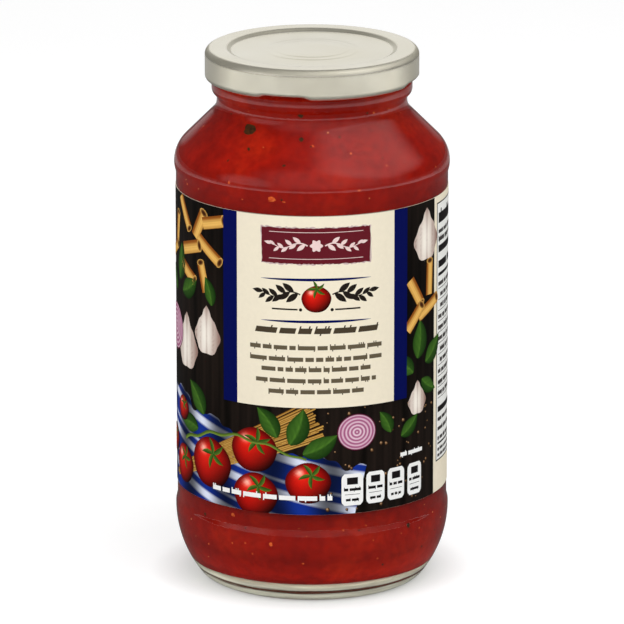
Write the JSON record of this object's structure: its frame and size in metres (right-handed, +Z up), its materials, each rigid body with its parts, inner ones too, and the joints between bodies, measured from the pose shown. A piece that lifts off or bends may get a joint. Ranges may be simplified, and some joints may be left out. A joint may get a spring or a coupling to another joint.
{
  "type": "tomato sauce jar",
  "caption": "Filled glass jar of tomato sauce with a wrap-around paper label and a tinplate twist-off lid; it stands on its base.",
  "frame": {"origin": "centre of the base, on the plane the jar stands on", "axes": "+Z up along the jar's axis; the middle of the label's front faces -Y"},
  "size_m": [0.0838, 0.0838, 0.1652],
  "materials": {
    "glass": "clear, polished",
    "sauce": "wet, with herbs and vegetable bits",
    "label_paper": "coated, satin, printed",
    "lid_metal": "satin tinplate, pale champagne lacquer"
  },
  "bodies": {
    "root": {"jar": "glass", "sauce": "sauce", "label": "label_paper", "lid": "lid_metal"}
  },
  "joints": []
}
